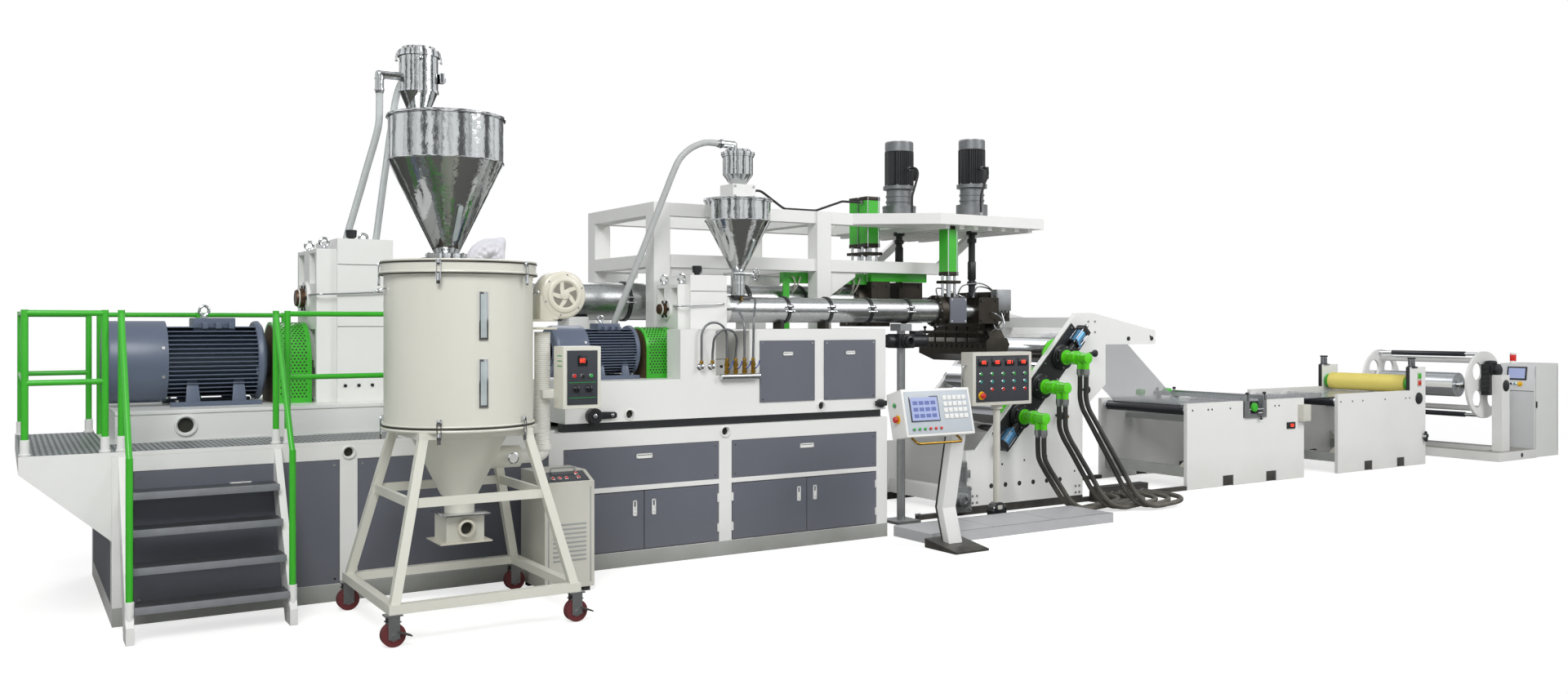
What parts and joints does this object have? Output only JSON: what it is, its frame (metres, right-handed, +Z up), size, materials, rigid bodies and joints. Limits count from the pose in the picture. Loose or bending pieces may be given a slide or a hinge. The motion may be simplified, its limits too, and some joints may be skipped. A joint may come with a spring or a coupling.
{
  "type": "plastic sheet extrusion line",
  "caption": "Plastic extruder with a side co-extruder, flat die, slanted roll calender, trim table, puller, turret winder, hopper dryer and vacuum loader in one line.",
  "frame": {"origin": "on the floor, under the middle of the base cabinet's length, on the line's centre plane", "axes": "+X runs with the sheet from the main motor to the winder, +Y away from the operator side, +Z up"},
  "size_m": [16.69, 3.266, 3.651],
  "materials": {
    "white_enamel": "warm white machine enamel, semi-gloss",
    "slate_panel": "slate grey powder coat, fine texture",
    "green_paint": "bright green enamel, semi-gloss",
    "motor_paint": "dark slate blue cast motor paint",
    "steel_shell": "brushed stainless barrel shells",
    "stainless": "mirror-polished stainless sheet",
    "dark_steel": "heat-darkened machined steel",
    "chrome_roll": "mirror chromium plated roll",
    "black_paint": "black enamel",
    "deck_grey": "grey painted tread plate",
    "beige_paint": "beige baked enamel",
    "brass": "plain brass fittings",
    "green_rubber": "lime green coated castings",
    "yellow_rubber": "yellow polyurethane rubber cover",
    "red_wheel": "dark red polyurethane wheel",
    "black_hose": "black hose rubber",
    "clear_hose": "translucent ribbed hose",
    "clear_sheet": "clear plastic sheet just made, on its way to the winder",
    "aluminium_part": "plain machined aluminium",
    "white_cloth": "woven white filter cloth",
    "panel_grey": "light grey textured enamel",
    "dark_panel": "dark grey front panel",
    "turret_metal": "white and bare metal turret",
    "braided_line": "stainless braid on hoses, black jackets on cables",
    "zinc": "zinc plated pressings"
  },
  "bodies": {
    "line": {"base_frame": "white_enamel", "cover_panels": "slate_panel", "platform": "deck_grey", "stair": "white_enamel", "guard_rails": "green_paint", "main_bed": "white_enamel", "main_motor": "motor_paint", "main_gearbox": "white_enamel", "main_barrel": "steel_shell", "main_hopper": "stainless", "coupling_guards": "green_paint", "vacuum_receivers": "stainless", "co_rails": "black_paint", "co_base": "white_enamel", "co_motor": "motor_paint", "co_gearbox": "white_enamel", "co_barrel": "steel_shell", "co_hopper": "stainless", "co_manifold": "brass", "barrel_jack": "zinc", "gantry": "white_enamel", "pump_drives": "motor_paint", "screen_cylinders": "green_paint", "cable_duct": "green_paint", "melt_head": "dark_steel", "t_die": "dark_steel", "calender_frame": "white_enamel", "roll_bearings": "zinc", "rotary_unions": "green_rubber", "carriage": "black_paint", "step_plate": "panel_grey", "operator_panel": "panel_grey", "control_box": "dark_panel", "plastic_web": "clear_sheet", "trim_frame": "white_enamel", "trim_rollers": "black_hose", "slitter": "aluminium_part", "puller_frame": "white_enamel", "winder_frame": "white_enamel", "winder_cabinet": "panel_grey", "dryer_stand": "beige_paint", "dryer_body": "beige_paint", "dryer_blower": "beige_paint", "dryer_control": "beige_paint", "filter_bag": "white_cloth", "loader_unit": "beige_paint", "casters": "zinc", "caster_wheels": "red_wheel", "water_hoses": "black_hose", "conveying_hoses": "clear_hose", "service_lines": "braided_line"},
    "door_1": {"door_1": "slate_panel"},
    "door_2": {"door_2": "slate_panel"},
    "door_3": {"door_3": "slate_panel"},
    "door_4": {"door_4": "slate_panel"},
    "roll_top": {"roll_top": "chrome_roll"},
    "roll_middle": {"roll_middle": "chrome_roll"},
    "roll_bottom": {"roll_bottom": "chrome_roll"},
    "puller_roll": {"puller_roll": "yellow_rubber"},
    "winder_turret": {"winder_turret": "turret_metal"}
  },
  "joints": [
    {"name": "door_1_hinge", "type": "hinge", "parent": "line", "child": "door_1", "pos_m": [-0.02505, -1.06, 0.315], "axis": [0, 0, -1], "range_deg": [0, 90]},
    {"name": "door_2_hinge", "type": "hinge", "parent": "line", "child": "door_2", "pos_m": [1.16234, -1.06, 0.315], "axis": [0, 0, 1], "range_deg": [0, 90]},
    {"name": "door_3_hinge", "type": "hinge", "parent": "line", "child": "door_3", "pos_m": [1.27934, -1.06, 0.315], "axis": [0, 0, -1], "range_deg": [0, 90]},
    {"name": "door_4_hinge", "type": "hinge", "parent": "line", "child": "door_4", "pos_m": [2.584, -1.06, 0.315], "axis": [0, 0, 1], "range_deg": [0, 90]},
    {"name": "roll_top_turn", "type": "hinge", "parent": "line", "child": "roll_top", "pos_m": [5.07104, 0, 1.36804], "axis": [0, 1, 0], "continuous": true},
    {"name": "roll_middle_turn", "type": "hinge", "parent": "line", "child": "roll_middle", "pos_m": [4.808, 0, 1.105], "axis": [0, 1, 0], "continuous": true},
    {"name": "roll_bottom_turn", "type": "hinge", "parent": "line", "child": "roll_bottom", "pos_m": [4.54496, 0, 0.84196], "axis": [0, 1, 0], "continuous": true},
    {"name": "puller_roll_turn", "type": "hinge", "parent": "line", "child": "puller_roll", "pos_m": [10.925, 0, 0.96], "axis": [0, 1, 0], "continuous": true},
    {"name": "winder_turret_turn", "type": "hinge", "parent": "line", "child": "winder_turret", "pos_m": [12.355, 0, 0.915], "axis": [0, 1, 0], "continuous": true}
  ]
}
